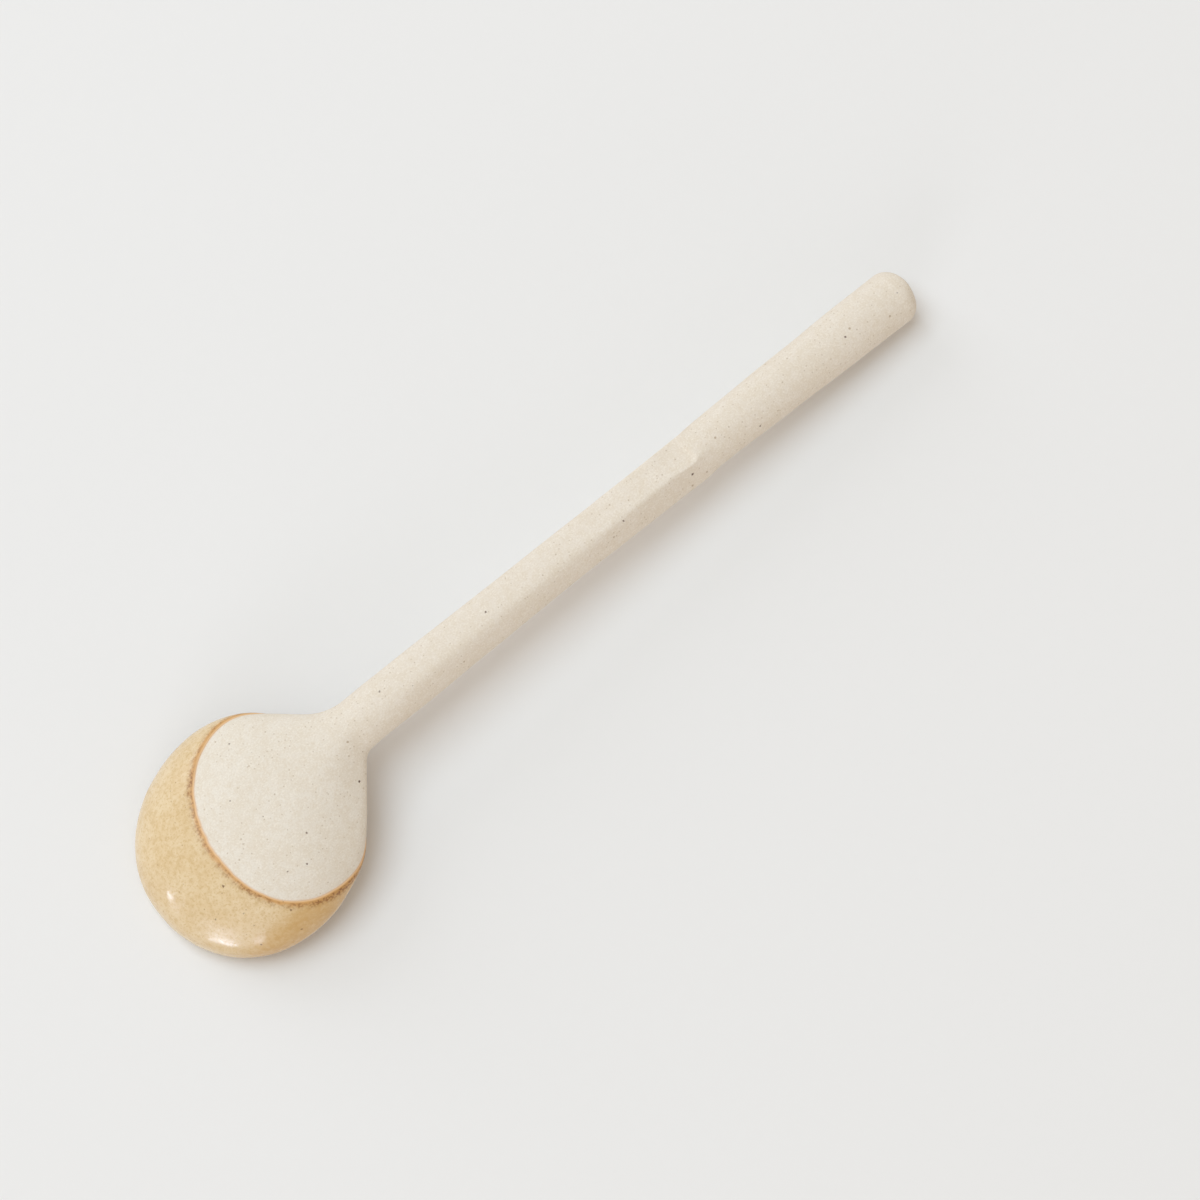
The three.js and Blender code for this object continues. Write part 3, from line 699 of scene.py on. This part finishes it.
def glazeMaterial(pieces):
    material, tree, shader = newMaterial("honey_glaze")
    where = millimetres(tree)
    edge = addNode(tree, "ShaderNodeAttribute", {"attribute_name": "edgeDistance"}).outputs["Fac"]
    rim = addNode(tree, "ShaderNodeAttribute", {"attribute_name": "rimDistance"}).outputs["Fac"]
    broad = cloud(tree, where, glaze["broadSize"], 3.0, 0.55)
    fine = cloud(tree, where, glaze["fineSize"], 3.0, 0.6)
    dust = cloud(tree, where, glaze["dustSize"], 1.0)
    colour = glaze["honeyTone"]
    for cloudy, low, high, strength, tone in (
        (broad, 0.36, 0.66, "broadCream", "creamTone"),
        (fine, 0.54, 0.30, "fineOchre", "ochreTone"),
        (fine, 0.52, 0.76, "fineCream", "creamTone"),
        (dust, 0.5, 0.25, "dustOchre", "ochreTone"),
    ):
        colour = blendColour(tree, span(tree, cloudy, low, high, 0.0, glaze[strength]), colour, glaze[tone])
    # painted shade: the coat turns darker ochre towards the right flank, which faces away from the lamps, broken up
    # by the fine mottling
    across = addNode(tree, "ShaderNodeSeparateXYZ", None, Vector=where).outputs["Y"]
    flankShade = span(tree, across, glaze["flankShadeFrom"], glaze["flankShadeTo"], 0.0, glaze["flankShadeStrength"])
    flankShade = calc(tree, "MULTIPLY", flankShade, span(tree, fine, 0.70, 0.40, 0.75, 1.0))
    colour = blendColour(tree, flankShade, colour, glaze["flankShadeTone"])
    # painted reflection: the coat is drawn paler over the rim, where it mirrors the pale floor
    rimReflection = span(tree, calc(tree, "ABSOLUTE", rim), *glaze["rimReflectionSpan"], 0.0, glaze["rimReflectionStrength"])
    colour = blendColour(tree, rimReflection, colour, glaze["rimReflectionTone"])
    # dip edge: a soft orange line, paler at the very edge, with brown grains gathered along its inner side
    uneven = calc(tree, "SUBTRACT", cloud(tree, where, glaze["lineWaveSize"], 3.0, 0.6), 0.5)
    waved = calc(tree, "ADD", edge, calc(tree, "MULTIPLY", uneven, glaze["lineWave"]))
    dipLine = span(tree, waved, *glaze["lineSpan"], 0.0, glaze["lineStrength"])
    colour = blendColour(tree, dipLine, colour, glaze["lineTone"])
    heavy = None
    for x, y, z, reach, share in rustPlaces:
        near = span(tree, distance(tree, where, (x, y, z)), reach * 1.3, reach * 0.4, 0.0, share)
        heavy = near if heavy is None else calc(tree, "MAXIMUM", heavy, near)
    gather = calc(tree, "ADD", calc(tree, "MULTIPLY", heavy, 0.5), 0.5)
    belt = calc(tree, "MULTIPLY", span(tree, edge, *glaze["beltStart"]), span(tree, waved, *glaze["beltEnd"]))
    patchy = span(tree, cloud(tree, where, glaze["rustSize"], 3.0, 0.6), 0.34, 0.60)
    patchy = calc(tree, "MAXIMUM", patchy, calc(tree, "MULTIPLY", heavy, 0.9))
    amount = calc(tree, "MULTIPLY", calc(tree, "MULTIPLY", belt, patchy), gather)
    colour = blendColour(tree, calc(tree, "MULTIPLY", amount, glaze["brownStrength"]), colour, glaze["brownTone"])
    grains = span(tree, cloud(tree, where, glaze["rustGrain"], 1.0), 0.45, 0.58)
    colour = blendColour(tree, calc(tree, "MULTIPLY", amount, grains), colour, glaze["rustTone"])
    paleLine = span(tree, edge, *glaze["paleSpan"], 0.0, glaze["paleStrength"])
    colour = blendColour(tree, paleLine, colour, glaze["paleLineTone"])
    colour = blendColour(tree, specks(tree, where, *glaze["freckles"]), colour, glaze["rustTone"])
    colour = blendColour(tree, specks(tree, where, *glaze["darkSpecks"]), colour, glaze["speckTone"])
    large = dotsAt(tree, where, [(onTop(x, y, pieces), *speck) for x, y, *speck in coatSpecks])
    colour = blendColour(tree, large, colour, glaze["speckTone"])
    tree.links.new(colour, shader.inputs["Base Color"])
    # glossy, but dry where it thins out at the dip line
    gloss = span(tree, fine, 0.3, 0.7, *glaze["roughness"])
    dry = span(tree, edge, *glaze["drySpan"], 0.0, glaze["dryRoughness"])
    tree.links.new(calc(tree, "MAXIMUM", gloss, dry), shader.inputs["Roughness"])
    ripple = cloud(tree, where, glaze["rippleSize"], 2.0)
    height = calc(tree, "ADD", ripple, calc(tree, "MULTIPLY", dust, 0.1))
    addBump(tree, shader, height, glaze["rippleHeight"], glaze["rippleStrength"])
    return material


bowlPiece = makeBowl()
coatPiece = makeCoat()
handlePiece = makeHandle()
slipPiece = makeSlip()
print("pieces made:", bowlPiece.name, coatPiece.name, handlePiece.name, slipPiece.name)

stoneware = clayMaterial([bowlPiece, handlePiece])
honey = glazeMaterial([coatPiece])
for piece, node, slotName, material in (
    (bowlPiece, "bowl", "stoneware", stoneware),
    (coatPiece, "glaze_coat", "honey_glaze", honey),
    (handlePiece, "handle", "stoneware", stoneware),
    (slipPiece, "slip_joint", "stoneware", stoneware),
):
    piece.data.materials.append(material)
    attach(piece, "root")
    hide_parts(node)
print("materials set")

# floor
floorSet = {"size": 6.0, "tone": (0.811, 0.809, 0.802), "fibreTone": (0.6, 0.6, 0.6), "fibreSize": 2.5,
            "fibreStrength": 0.012, "roughness": 0.95, "specular": 0.1}


def makeFloor():
    bpy.ops.mesh.primitive_plane_add(size=floorSet["size"], location=(0, 0, 0))
    floor = bpy.context.object
    floor.name = "paper_floor"
    material, tree, shader = newMaterial("pale_paper")
    where = millimetres(tree)
    fibre = span(tree, cloud(tree, where, floorSet["fibreSize"], 4.0), 0.3, 0.7, 0.0, floorSet["fibreStrength"])
    shade = blendColour(tree, fibre, floorSet["tone"], floorSet["fibreTone"])
    tree.links.new(shade, shader.inputs["Base Color"])
    shader.inputs["Roughness"].default_value = floorSet["roughness"]
    shader.inputs["Specular IOR Level"].default_value = floorSet["specular"]
    floor.data.materials.append(material)


# camera: fitted to the photograph's outline
cameraSet = {"azimuth": 320.2, "elevation": 80.0, "distance": 620.0, "aim": (8.06, -5.9, 0.0), "pixelsPerMm": 6.06,
             "imageSize": 1200, "sensor": 36.0}


def viewAxes(azimuth, elevation):
    a, e = math.radians(azimuth), math.radians(elevation)
    back = Vector((math.sin(a) * math.cos(e), -math.cos(a) * math.cos(e), math.sin(e)))
    right = Vector((math.cos(a), math.sin(a), 0))
    return right, back.cross(right), back


def makeCamera():
    data = bpy.data.cameras.new("camera")
    data.sensor_width = cameraSet["sensor"]
    width = cameraSet["imageSize"] / cameraSet["pixelsPerMm"]
    data.lens = cameraSet["sensor"] * cameraSet["distance"] / width
    data.clip_start = 0.01
    camera = bpy.data.objects.new("camera", data)
    right, up, back = viewAxes(cameraSet["azimuth"], cameraSet["elevation"])
    turn = Matrix((right, up, back)).transposed().to_4x4()
    at = (Vector(cameraSet["aim"]) + back * cameraSet["distance"]) * mm
    camera.matrix_world = Matrix.Translation(at) @ turn
    bpy.context.collection.objects.link(camera)
    bpy.context.scene.camera = camera


# light: directions are given as seen in the picture, from its right side round to its top
lamps = [
    {"name": "window_high", "around": 150, "height": 70, "away": 2.4, "size": (1.6, 1.6), "watts": 27.6,
     "tone": (0.83, 1.0, 1.15)},
    {"name": "window_low", "around": 140, "height": 25, "away": 2.4, "size": (1.6, 1.6), "watts": 12.6,
     "tone": (0.96, 1.0, 1.09)},
    {"name": "card_below", "around": 248, "height": 15, "away": 2.4, "size": (1.24, 1.0), "watts": 9.4,
     "tone": (0.97, 1.0, 1.08), "gloss": False},
    {"name": "fill_right", "around": 310, "height": 7, "away": 2.4, "size": (1.4, 0.5), "watts": 3.2,
     "tone": (1.0, 0.97, 1.02), "gloss": False},
]
# small panes that only show as glints in the glaze
panes = [
    {"name": "pane_below", "around": 244, "height": 1.5, "away": 0.6, "size": (0.15, 0.045), "watts": 0.30},
    {"name": "pane_end", "around": 240, "height": 2.0, "away": 0.6, "size": (0.06, 0.03), "watts": 0.05},
    {"name": "pane_glow", "around": 238, "height": 7.0, "away": 0.6, "size": (0.21, 0.09), "watts": 0.11},
    {"name": "pane_right", "around": 261, "height": 7.0, "away": 0.6, "size": (0.03, 0.05), "watts": 0.11},
    {"name": "pane_sheet", "around": 254, "height": 27.0, "away": 0.6, "size": (0.29, 0.46), "watts": 0.26},
    {"name": "pane_left", "around": 213, "height": 1.5, "away": 0.6, "size": (0.03, 0.04), "watts": 0.085},
]
paneTone = (0.86, 1.0, 1.3)  # of all the panes
room = {"strength": 0.495, "tone": (1.15, 1.0, 0.84)}


def makeLamp(settings, isGlint):
    right, up, back = viewAxes(cameraSet["azimuth"], 90)
    around, height = math.radians(settings["around"]), math.radians(settings["height"])
    flat = right * math.cos(around) + up * math.sin(around)
    aim = flat * math.cos(height) + Vector((0, 0, 1)) * math.sin(height)
    data = bpy.data.lights.new(settings["name"], "AREA")
    data.shape = "RECTANGLE"
    data.size, data.size_y = settings["size"]
    data.energy = settings["watts"]
    data.color = settings.get("tone", paneTone)
    lamp = bpy.data.objects.new(settings["name"], data)
    lamp.location = aim * settings["away"]
    lamp.rotation_euler = aim.to_track_quat("Z", "Y").to_euler()
    lamp.visible_diffuse = not isGlint
    lamp.visible_glossy = settings.get("gloss", True)
    bpy.context.collection.objects.link(lamp)


def makeRoom():
    world = bpy.data.worlds.new("room")
    world.use_nodes = True
    tree = world.node_tree
    tree.nodes.clear()
    light = addNode(tree, "ShaderNodeBackground", None, Color=(*room["tone"], 1), Strength=room["strength"])
    addNode(tree, "ShaderNodeOutputWorld", None, Surface=light.outputs[0])
    bpy.context.scene.world = world


makeFloor()
makeCamera()
for settings in lamps:
    makeLamp(settings, False)
for settings in panes:
    makeLamp(settings, True)
makeRoom()
bpy.context.scene.view_settings.view_transform = "Standard"
print("floor, camera and light set")
